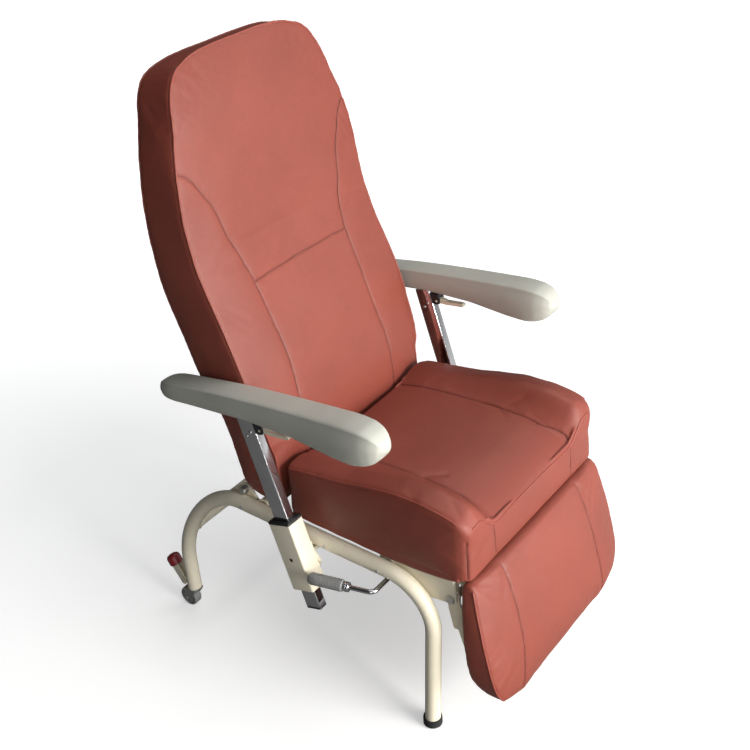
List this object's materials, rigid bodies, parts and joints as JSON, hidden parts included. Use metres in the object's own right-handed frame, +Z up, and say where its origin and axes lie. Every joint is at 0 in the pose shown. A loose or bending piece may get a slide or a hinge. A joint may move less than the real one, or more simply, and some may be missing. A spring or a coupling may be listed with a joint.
{
  "type": "patient recliner chair",
  "caption": "Reclining patient chair with vinyl seat, back and leg rest pads, height-adjustable armrests, a bent-tube base, front feet and braked rear castors.",
  "frame": {"origin": "centre of the footprint box, on the floor", "axes": "+Z up; the sitter faces -Y; the sitter's left hand is on +X"},
  "size_m": [0.629, 0.8185, 1.176],
  "materials": {
    "frame_paint": "semi-gloss cream powder coat",
    "upholstery": "terracotta coated fabric with a fine leather grain",
    "plywood": "raw beech plywood",
    "chrome": "bright chrome plate",
    "zinc_steel": "zinc plated",
    "black_paint": "satin black paint",
    "black_plastic": "moulded black nylon",
    "rubber": "black rubber",
    "armrest_skin": "moulded integral-skin foam, warm light grey",
    "grey_plastic": "moulded grey plastic",
    "red_plastic": "moulded red plastic"
  },
  "bodies": {
    "frame": {"side_frame_right": "frame_paint", "side_frame_left": "frame_paint", "front_cross_tube": "frame_paint", "mid_cross_tube": "frame_paint", "rear_cross_tube": "frame_paint", "front_foot_right": "rubber", "front_foot_left": "rubber", "seat_frame": "frame_paint", "legrest_bracket_right": "frame_paint", "legrest_bracket_left": "frame_paint", "hinge_bracket_right": "frame_paint", "hinge_bracket_left": "frame_paint", "hinge_shaft": "zinc_steel", "seat_board": "plywood", "seat_cushion": "upholstery", "gas_spring_cylinder": "black_paint", "legrest_pivot_bolt_right": "zinc_steel", "legrest_pivot_bolt_left": "zinc_steel", "armrest_sleeve_right": "frame_paint", "armrest_sleeve_left": "frame_paint", "sleeve_bush_right": "black_plastic", "sleeve_bush_left": "black_plastic", "lever_bearing_outer": "frame_paint", "lever_bearing_inner": "frame_paint", "pedal_lug_right": "frame_paint", "pedal_lug_left": "frame_paint"},
    "backrest": {"back_cushion": "upholstery", "back_board": "plywood", "back_hinge_tube": "frame_paint", "back_arm_right": "frame_paint", "back_arm_left": "frame_paint"},
    "gas_spring_piston": {"gas_spring_rod": "chrome"},
    "push_link": {"link_bar": "zinc_steel"},
    "legrest_arms": {"legrest_arm_right": "frame_paint", "legrest_arm_left": "frame_paint", "legrest_cross_tube": "frame_paint"},
    "legrest": {"legrest_slide_right": "frame_paint", "legrest_slide_left": "frame_paint", "legrest_pad": "upholstery", "legrest_board": "plywood"},
    "armrest_right": {"armrest_post_right": "chrome", "armrest_post_plug_right": "black_plastic", "armrest_pad_right": "armrest_skin", "release_bracket_right": "black_plastic"},
    "release_lever_right": {"release_lever_right": "frame_paint"},
    "armrest_left": {"armrest_post_left": "chrome", "armrest_post_plug_left": "black_plastic", "armrest_pad_left": "armrest_skin", "release_bracket_left": "black_plastic"},
    "release_lever_left": {"release_lever_left": "frame_paint"},
    "recline_lever": {"recline_lever_rod": "chrome", "recline_lever_grip": "grey_plastic"},
    "castor_fork_right": {"castor_fork_right": "zinc_steel"},
    "castor_wheel_right": {"castor_wheel_right": "grey_plastic"},
    "brake_pedal_right": {"brake_pedal_right": "frame_paint", "pedal_cap_right": "red_plastic"},
    "castor_fork_left": {"castor_fork_left": "zinc_steel"},
    "castor_wheel_left": {"castor_wheel_left": "grey_plastic"},
    "brake_pedal_left": {"brake_pedal_left": "frame_paint", "pedal_cap_left": "red_plastic"}
  },
  "joints": [
    {"name": "back_recline", "type": "hinge", "parent": "frame", "child": "backrest", "pos_m": [0, 0.1565, 0.374], "axis": [-1, 0, 0], "range_deg": [0, 40]},
    {"name": "gas_spring_stroke", "type": "slide", "parent": "frame", "child": "gas_spring_piston", "axis": [0, -1, 0], "range_m": [0, 0.051]},
    {"name": "push_link_stroke", "type": "slide", "parent": "frame", "child": "push_link", "axis": [0, -1, 0], "range_m": [0, 0.051]},
    {"name": "legrest_swing", "type": "hinge", "parent": "frame", "child": "legrest_arms", "pos_m": [0, -0.3075, 0.314], "axis": [-1, 0, 0], "range_deg": [0, 70]},
    {"name": "legrest_extend", "type": "slide", "parent": "legrest_arms", "child": "legrest", "axis": [0, 0, -1], "range_m": [0, 0.0734]},
    {"name": "armrest_height_right", "type": "slide", "parent": "frame", "child": "armrest_right", "axis": [0, 0.284, 0.9588], "range_m": [-0.165, 0.02]},
    {"name": "release_lever_right_squeeze", "type": "hinge", "parent": "armrest_right", "child": "release_lever_right", "pos_m": [-0.2775, 0.0345, 0.586], "axis": [-1, 0, 0], "range_deg": [0, 8]},
    {"name": "armrest_height_left", "type": "slide", "parent": "frame", "child": "armrest_left", "axis": [0, 0.284, 0.9588], "range_m": [-0.165, 0.02]},
    {"name": "release_lever_left_squeeze", "type": "hinge", "parent": "armrest_left", "child": "release_lever_left", "pos_m": [0.2775, 0.0345, 0.586], "axis": [-1, 0, 0], "range_deg": [0, 8]},
    {"name": "recline_lever_lift", "type": "hinge", "parent": "frame", "child": "recline_lever", "pos_m": [-0.2, -0.1795, 0.309], "axis": [1, 0, 0], "range_deg": [0, 20]},
    {"name": "castor_swivel_right", "type": "hinge", "parent": "frame", "child": "castor_fork_right", "pos_m": [-0.2347, 0.3415, 0.05], "axis": [0, 0, 1], "continuous": true},
    {"name": "castor_spin_right", "type": "hinge", "parent": "castor_fork_right", "child": "castor_wheel_right", "pos_m": [-0.2347, 0.3585, 0.022], "axis": [1, 0, 0], "continuous": true},
    {"name": "brake_pedal_right_press", "type": "hinge", "parent": "frame", "child": "brake_pedal_right", "pos_m": [-0.2347, 0.3635, 0.063], "axis": [-1, 0, 0], "range_deg": [0, 30]},
    {"name": "castor_swivel_left", "type": "hinge", "parent": "frame", "child": "castor_fork_left", "pos_m": [0.2347, 0.3415, 0.05], "axis": [0, 0, 1], "continuous": true},
    {"name": "castor_spin_left", "type": "hinge", "parent": "castor_fork_left", "child": "castor_wheel_left", "pos_m": [0.2347, 0.3585, 0.022], "axis": [1, 0, 0], "continuous": true},
    {"name": "brake_pedal_left_press", "type": "hinge", "parent": "frame", "child": "brake_pedal_left", "pos_m": [0.2347, 0.3635, 0.063], "axis": [-1, 0, 0], "range_deg": [0, 30]}
  ],
  "couplings": [
    {"joint": "gas_spring_stroke", "follows": "back_recline", "m_per_rad": 0.072506},
    {"joint": "push_link_stroke", "follows": "back_recline", "m_per_rad": 0.072506},
    {"joint": "legrest_swing", "follows": "back_recline", "ratio": 1.75},
    {"joint": "legrest_extend", "follows": "back_recline", "m_per_rad": 0.105}
  ]
}
